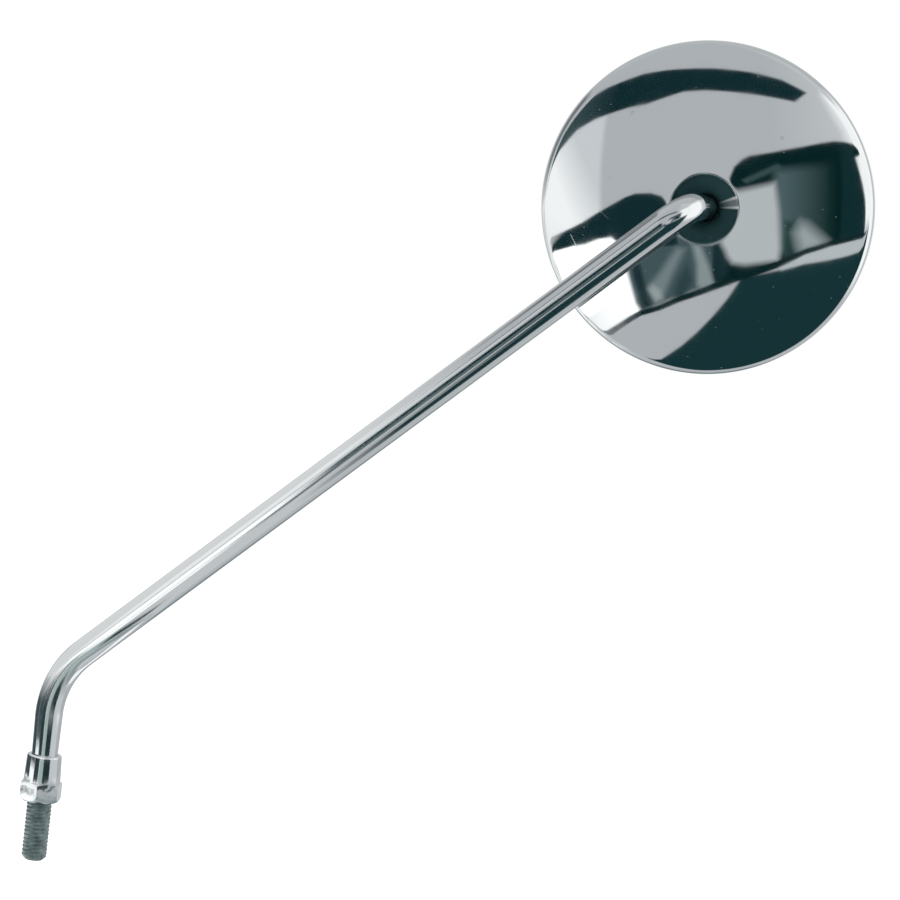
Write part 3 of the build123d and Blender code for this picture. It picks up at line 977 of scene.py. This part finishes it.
def camera_axes():
    """Right, up and back of the camera in the part's frame."""
    azimuth = math.radians(CAMERA_AZIMUTH)
    elevation = math.radians(CAMERA_ELEVATION)
    roll = math.radians(CAMERA_ROLL)
    flat = math.cos(elevation)
    back = Vector((math.sin(azimuth) * flat, -math.cos(azimuth) * flat, math.sin(elevation)))
    level = Vector((math.cos(azimuth), math.sin(azimuth), 0))
    upright = back.cross(level)
    right = level * math.cos(roll) + upright * math.sin(roll)
    up = upright * math.cos(roll) - level * math.sin(roll)
    return right, up, back


RIGHT, UP, BACK = camera_axes()


def make_camera():
    """Camera at the photograph's place."""
    data = bpy.data.cameras.new("camera")
    data.sensor_width = SENSOR_WIDTH
    data.lens = FOCAL_LENGTH
    camera = bpy.data.objects.new("camera", data)
    bpy.context.scene.collection.objects.link(camera)
    turn = Matrix((RIGHT, UP, BACK)).transposed().to_4x4()
    camera.matrix_world = Matrix.Translation(CAMERA_PLACE) @ turn
    bpy.context.scene.camera = camera



def card_material(name, tone, fade, power):
    """Plain glowing card, in one tone, or fading along an axis to another tone or to nothing."""
    material, tree, place = start_material(name)
    light = add(tree, "ShaderNodeEmission", {"Color": linear(tone), "Strength": power})
    if fade:
        far_tone, axis, near, far = fade
        along = add(tree, "ShaderNodeVectorMath", {0: place, 1: axis}, operation="DOT_PRODUCT")
        share = add(tree, "ShaderNodeMapRange", {
            "Value": along.outputs["Value"], "From Min": near, "From Max": far})
        other = add(tree, "ShaderNodeBsdfTransparent")
        if far_tone != CLEAR:
            other = add(tree, "ShaderNodeEmission", {"Color": linear(far_tone), "Strength": power})
        light = add(tree, "ShaderNodeMixShader", {
            "Fac": share.outputs["Result"], 1: light.outputs[0], 2: other.outputs[0]})
    edge = add(tree, "ShaderNodeAttribute", attribute_name="inside")
    clear = add(tree, "ShaderNodeBsdfTransparent")
    soft = add(tree, "ShaderNodeMixShader", {
        "Fac": edge.outputs["Fac"], 1: clear.outputs[0], 2: light.outputs[0]})
    end_material(material, soft)
    material.cycles.emission_sampling = "NONE"
    return material


def card(name, tone, places, feather, fade=None, power=1.0):
    """Card that only polished surfaces see, clear at its edge and full a feather's width inside it."""
    piece = start_point(name, places[0])
    trace(places)
    bpy.ops.mesh.select_all(action="SELECT")
    bpy.ops.mesh.edge_face_add()
    bpy.ops.mesh.inset(thickness=feather)
    bpy.ops.object.mode_set(mode="OBJECT")
    inside = piece.data.attributes.new("inside", "FLOAT", "POINT")
    for vertex in piece.data.vertices:
        inside.data[vertex.index].value = 1.0 if vertex.select else 0.0
    piece.data.materials.append(card_material(name, tone, fade, power))
    hide_card(piece)


def hide_card(piece):
    """Keep a card out of the picture, the shadows and the soft light."""
    piece.visible_camera = False
    piece.visible_diffuse = False
    piece.visible_shadow = False


def hang(name, tone, layer, feather, *corners, fade=None, power=1.0):
    """Card on the studio wall behind the camera, its corners in metres to the right and up. Higher layers
    hang in front and look as large from the mirror."""
    nearer = 1 - layer * CARD_LAYER / WALL_DISTANCE
    places = [
        BALL_CENTRE * MM + (BACK * WALL_DISTANCE + RIGHT * across + UP * up) * nearer
        for across, up in corners]
    card(name, tone, places, feather, fade, power)


def fade_to(tone, axis, near, far):
    """Fade of a card to a tone along an axis, between two distances from the ball's centre in metres."""
    start = (BALL_CENTRE * MM).dot(axis)
    return tone, axis, start + near, start + far


def beside_bar(start, end, low, high, off=STRIP_DISTANCE):
    """Strip along the bar, from one distance past its lower corner to another in millimetres, and between
    two angles down from the side that faces the camera."""
    front = (BACK - ALONG_BAR * BACK.dot(ALONG_BAR)).normalized()
    below = ALONG_BAR.cross(front)
    reach = off / math.cos(math.radians(high - low) / 2)
    places = []
    for distance, angle in ((start, low), (end, low), (end, high), (start, high)):
        turn = math.radians(angle)
        side = front * math.cos(turn) + below * math.sin(turn)
        places.append((LOWER_CORNER + ALONG_BAR * distance + side * reach) * MM)
    return places


def round_foot(low, high, bottom, top):
    """Upright strip round the foot between two angles, as the round foot shows them, plus to the camera's
    right, and two heights."""
    front = Vector((BACK.x, BACK.y, 0)).normalized()
    right = Vector((RIGHT.x, RIGHT.y, 0)).normalized()
    places = []
    for angle, height in ((low, bottom), (high, bottom), (high, top), (low, top)):
        turn = math.radians(angle)
        turn -= math.asin(FOOT_MEAN_RADIUS / FOOT_STRIP_DISTANCE * math.sin(turn / 2))
        side = front * math.cos(turn) + right * math.sin(turn)
        places.append((side * FOOT_STRIP_DISTANCE + Vector((0, 0, height))) * MM)
    return places


def far_off(left, right, low, high):
    """Corners of a card far off, between angles to the right of the camera's back and angles up."""
    places = []
    for turn, lift in ((left, low), (right, low), (right, high), (left, high)):
        level = BACK * math.cos(math.radians(turn)) + RIGHT * math.sin(math.radians(turn))
        direction = level * math.cos(math.radians(lift)) + UP * math.sin(math.radians(lift))
        places.append(BALL_CENTRE * MM + direction * FAR_DISTANCE)
    return places


def make_tent():
    """Pale tent all round that the chrome shows where no card hangs."""
    bpy.ops.mesh.primitive_uv_sphere_add(segments=2 * TENT_RINGS, ring_count=TENT_RINGS, radius=TENT_RADIUS)
    tent = bpy.context.object
    tent.name = "pale_tent"
    bpy.ops.object.mode_set(mode="EDIT")
    bpy.ops.mesh.select_all(action="SELECT")
    bpy.ops.mesh.flip_normals()
    stop_editing()
    material, tree, place = start_material("pale_tent_cloth")
    colour = clouded_colour(tree, place, 6000.0, 2.0, "#c9cdd0", "#eaecee")
    end_material(material, add(tree, "ShaderNodeEmission", {"Color": colour}))
    material.cycles.emission_sampling = "NONE"
    tent.data.materials.append(material)
    hide_card(tent)


def make_studio_wall():
    """Light and dark areas behind the camera that the dome shows."""
    card("far_left", WHITE, far_off(-128, -58, -42, 4), 0.8, power=1.6)
    card("far_lower_left", WHITE, far_off(-128, -58, -52, -38), 0.8, power=1.6)
    card("far_front", "#8b979b", far_off(148, 215, -60, 4), 1.6, fade=fade_to("#e9eded", UP, -4.8, -0.4))
    card("far_right", WHITE, far_off(40, 118, -31, 42), 3, power=1.5)
    hang("right_light", WHITE, 0, 0.3, (0.5, 5), (9, 5), (9, -0.5), (0.5, -0.8), power=1.45)
    hang("pale_wall", PALE, 1, 0.3, (-14, 9), (9, 9), (4, 3.2), (2.2, 2.15), (1.75, 1.95),
         (1.6, 1.7), (1.72, 1.42), (1.88, 1.15), (2.05, 0.6), (2.05, -1.5), (-14, -1.5),
         fade=fade_to("#eceef0", RIGHT, 0.4, 1.7))
    hang("left_light", "#d0d3d5", 1.5, 0.15, (-14, 1.75), (-2.76, 1.75), (-2.76, -3), (-14, -3),
         fade=fade_to(WHITE, RIGHT * 0.8 + UP * 0.6, -2.2, -3.4), power=1.45)
    hang("window", WHITE, 2, 0.12, (-30, -4), (-5.2, -1.35), (-3.5, -0.95), (-2.5, -0.75),
         (-2.22, -1), (-2.1, -1.6), (-2.15, -2.3), (-2.1, -2.55), (-2.5, -2.8), (-3.5, -3.65),
         (-6, -5.9), (-16, -15), (-30, -15), power=1.9)
    hang("top_bar", DARK, 3, 0.04, (-7, 0.9), (-5.8, 1.45), (-4.28, 2.09), (-3.5, 2.38), (-3, 2.46),
         (-2, 2.5), (-1.47, 2.44), (-0.53, 2.29), (0.13, 2.15), (0.67, 1.99), (1.12, 1.74), (0.85, 1.5),
         (0.53, 1.55), (-0.13, 1.66), (-0.67, 1.75), (-1.07, 1.78), (-1.47, 1.71), (-1.8, 1.66),
         (-2.2, 1.68), (-3.2, 1.66), (-3.87, 1.55), (-4.61, 1.18), (-5.23, 0.9), (-7, 0.1),
         fade=fade_to("#5a6f73", RIGHT, -2.5, -5.2))
    hang("left_bench", DARK, 4, 0.03, (-6.6, -1.6), (-5.2, -1.08), (-4, -0.73), (-3.5, -0.57),
         (-3, -0.37), (-2.5, -0.18), (-2.17, -0.05), (-1.93, 0.01), (-1.6, 0.01), (-1.38, -0.05),
         (-1.2, -0.25), (-1.1, -0.9), (-2.3, -1.05), (-2.6, -0.85), (-3, -0.93), (-3.5, -1.1),
         (-4, -1.2), (-5.2, -1.52), (-6.6, -2))
    hang("cloth", "#52686c", 3, 0.12, (-2.4, -1), (-1.15, -0.6), (-0.3, -0.8), (-0.15, -1.4),
         (-0.55, -1.65), (-1.2, -1.98), (-1.67, -2.28), (-2.13, -2.52), (-2.28, -2.3))
    hang("cloth_left_fold", "#243d42", 5, 0.1, (-2.24, -1.2), (-1.9, -1.2), (-1.78, -2.3), (-2.12, -2.5))
    hang("cloth_arch", "#8c9da0", 4.4, 0.13, (-1.92, -1.8), (-1.58, -1.4), (-1.18, -0.86), (-0.9, -0.9),
         (-1.22, -1.5), (-1.46, -2), (-1.74, -2.24))
    hang("cloth_hollow", "#3a5357", 4.7, 0.11, (-1.22, -1.5), (-0.95, -1.08), (-0.84, -1.55),
         (-1.05, -1.95), (-1.42, -2.06))
    hang("cloth_lit_fold", "#b8c2c3", 5, 0.13, (-1.92, -1.85), (-1.72, -1.64), (-1.5, -1.8), (-1.48, -2.05),
         (-1.75, -2.22))
    hang("cloth_streak", "#a6b3b5", 5, 0.1, (-0.94, -0.78), (-0.7, -0.78), (-0.55, -1.2), (-0.46, -1.56),
         (-0.66, -1.76), (-0.88, -1.66), (-0.86, -1.2))
    hang("cloth_right_fold", "#1f3a3f", 5.2, 0.09, (-0.6, -0.75), (-0.3, -0.8), (-0.2, -1.1),
         (-0.24, -1.42), (-0.52, -1.6), (-0.56, -1.2))
    hang("right_frame", VERY_DARK, 4, 0.04, (-0.32, 0.1), (-0.2, 0.39), (-0.07, 0.51), (0.05, 0.57),
         (0.41, 0.63), (0.91, 0.74), (1.23, 0.82), (1.5, 0.88), (1.72, 0.89), (1.91, 0.87), (2.3, 0.85),
         (2.28, 0.74), (1.95, 0.6), (2.02, 0.38), (2.1, 0.13), (2.16, -0.11), (2.2, -0.4), (2.25, -0.78),
         (1.47, -0.88), (1, -0.97), (0.5, -1.2), (-0.07, -1.42), (-0.6, -1.6), (-0.5, -0.7))
    hang("frame_post", "#17383b", 4.5, 0.06, (1.58, 0.85), (1.92, 0.82), (1.93, 0.6), (2, 0.35),
         (2.12, -0.1), (2.2, -0.75), (1.6, -0.86))
    hang("grey_panel", "#5f777b", 5, 0.16, (0.36, 0.4), (1.52, 0.56), (1.56, -0.84), (0.4, -1.16),
         fade=fade_to("#1c3837", RIGHT, 0.5, 1.3))
    hang("lit_panel", "#dde2e4", 5.3, 0.11, (-0.45, 0), (-0.15, 0.06), (0.5, 0.2), (0.57, -0.3),
         (0.62, -0.92), (0.6, -1.17), (0, -1.25), (-0.24, -1.22), (-0.34, -1.08), (-0.38, -0.97),
         (-0.5, -0.75), (-0.55, -0.35))
    hang("panel_streak", "#45605f", 5.6, 0.03, (-0.1, 0.18), (0.5, 0.45), (0.6, 0.36), (0, 0.1))
    hang("panel_shade", "#2c4a48", 6, 0.1, (0.56, -0.42), (0.8, -0.42), (0.86, -1.02), (0.58, -1.12))
    hang("panel_glow", "#bcc7c8", 6.5, 0.22, (0.66, -0.64), (0.84, -0.36), (1.05, -0.42), (1.52, -0.78),
         (1.32, -1.02), (0.84, -1.2))
    hang("table_edge", VERY_DARK, 8, 0.014, (-6, -5.62), (-3.5, -3.54), (-3, -3.13), (-2.5, -2.71),
         (-2.17, -2.45), (-1.67, -2.2), (-1.2, -1.9), (-0.53, -1.55), (-0.07, -1.33), (0.53, -1.12),
         (1, -0.92), (1.47, -0.82), (2.6, -0.67), (2.6, -0.75), (1.47, -0.92), (1, -1.04), (0.53, -1.27),
         (-0.07, -1.49), (-0.53, -1.71), (-1.2, -2.05), (-1.67, -2.35), (-2.17, -2.62), (-2.5, -2.89),
         (-3, -3.33), (-3.5, -3.8), (-6, -6.05))
    hang("table_left", PALE, 7, 0.05, (-6, -5.92), (-3.5, -3.67), (-2.5, -2.8), (-1.67, -2.27),
         (-0.05, -1.42), (-0.28, -1.87), (-0.58, -2.33), (-0.91, -2.8), (-1.31, -3.33), (-1.71, -3.8),
         (-2.9, -5.2), (-4.5, -7))
    hang("table_right", "#dfe5e8", 7, 0.03, (0.5, -1.2), (1, -0.98), (1.47, -0.86), (2.6, -0.7),
         (2.6, -0.98), (1.87, -1.13), (1.47, -1.18), (1, -1.22), (0.6, -1.32))
    hang("dark_floor", "#1f4044", 6, 0.05, (-0.07, -1.4), (0.6, -1.26), (1, -1.16), (1.47, -1.12),
         (1.87, -1.07), (2.6, -0.92), (5, -0.7), (14, -24), (-2.5, -24), (-3.4, -6.4), (-2.95, -5.2),
         (-1.76, -3.8), (-1.36, -3.33), (-0.96, -2.8), (-0.63, -2.33), (-0.33, -1.87),
         fade=fade_to(PALE, UP, -12, -22))


def make_bar_strips():
    """Strips beside the bar that give it its long streaks."""
    corner = (LOWER_CORNER * MM).dot(ALONG_BAR)
    for name, tone, start, stop, low, high, off, fade_start, power in BAR_STRIPS:
        fade = (CLEAR, ALONG_BAR, corner + fade_start * MM, corner + stop * MM)
        places = beside_bar(start, stop, low, high, off)
        card(name, tone, places, STRIP_FEATHER_SHARE * off * MM, fade, power)
    feather = 2 * STRIP_FEATHER_SHARE * STRIP_DISTANCE * MM
    fade = (CLEAR, ALONG_BAR, corner + 175 * MM, corner + 140 * MM)
    card("upper_shade", "#8d9092", beside_bar(135, 235, -118, -86), feather, fade)


def make_foot_strips():
    """Strips round the foot, the wide ones in parts, so that none comes near the foot."""
    for name, tone, power, low, high, bottom, top, *fading in FOOT_STRIPS:
        fade = None
        if fading:
            fade_start, far_tone = fading
            fade = (far_tone, UPRIGHT, fade_start * MM, top * MM)
        parts = math.ceil((high - low) / FOOT_STRIP_WIDEST)
        step = (high - low) / parts
        for part in range(parts):
            left = low + step * part - (FOOT_STRIP_OVERLAP if part else 0)
            right = low + step * (part + 1) + (FOOT_STRIP_OVERLAP if part < parts - 1 else 0)
            places = round_foot(left, right, bottom, top)
            card(f"{name}_{part + 1}", tone, places, FOOT_STRIP_FEATHER * MM, fade, power)


def make_floor():
    """Plain pale floor under the part. It shows white and keeps the part's shadow."""
    bpy.ops.mesh.primitive_plane_add(size=FLOOR_SIZE, location=(0, 0, FLOOR_HEIGHT))
    floor = bpy.context.object
    floor.name = "floor"
    material, tree, place = start_material("pale_floor")
    colour = clouded_colour(tree, place, 40.0, 2.0, "#f1f1f1", "#f5f5f5")
    matt = add(tree, "ShaderNodeBsdfDiffuse", {"Color": colour})
    lift = add(tree, "ShaderNodeEmission", {
        "Color": linear(WHITE), "Strength": seen_directly(tree, 0.0, FLOOR_LIFT)})
    both = add(tree, "ShaderNodeAddShader", {0: matt.outputs[0], 1: lift.outputs[0]})
    end_material(material, both)
    floor.data.materials.append(material)
    floor.visible_glossy = False


def seen_directly(tree, otherwise, seen):
    """Value for what the camera, metal and glass see, and another for the soft light."""
    path = add(tree, "ShaderNodeLightPath")
    shiny = add(tree, "ShaderNodeMath", {
        0: path.outputs["Is Glossy Ray"], 1: path.outputs["Is Transmission Ray"]}, operation="MAXIMUM")
    direct = add(tree, "ShaderNodeMath", {
        0: path.outputs["Is Camera Ray"], 1: shiny.outputs["Value"]}, operation="MAXIMUM")
    level = add(tree, "ShaderNodeMapRange", {
        "Value": direct.outputs["Value"], "To Min": otherwise, "To Max": seen})
    return level.outputs["Result"]


def make_world():
    """White surroundings that give an even soft light."""
    world = bpy.data.worlds.new("white_studio")
    world.use_nodes = True
    tree = world.node_tree
    tree.nodes.clear()
    sky = add(tree, "ShaderNodeBackground", {
        "Color": linear(WHITE), "Strength": seen_directly(tree, SOFT_LEVEL, 1.0)})
    add(tree, "ShaderNodeOutputWorld", {"Surface": sky.outputs[0]})
    bpy.context.scene.world = world


def make_softbox(name, place, size, watts):
    """Large soft lamp that looks at the mirror and stays out of the picture and the chrome."""
    data = bpy.data.lights.new(name, "AREA")
    data.shape = "SQUARE"
    data.size = size
    data.energy = watts
    lamp = bpy.data.objects.new(name, data)
    bpy.context.scene.collection.objects.link(lamp)
    lamp.location = place
    lamp.rotation_euler = (BALL_CENTRE * MM - Vector(place)).to_track_quat("-Z", "Y").to_euler()
    lamp.visible_camera = False
    lamp.visible_glossy = False


make_camera()
make_world()
make_floor()
make_tent()
make_studio_wall()
make_bar_strips()
make_foot_strips()
make_softbox("key_softbox", (-0.9, -1.2, 1.6), size=1.2, watts=14.0)
make_softbox("fill_softbox", (1.2, 0.9, 1.5), size=1.2, watts=8.0)

bpy.context.scene.view_settings.view_transform = "Standard"
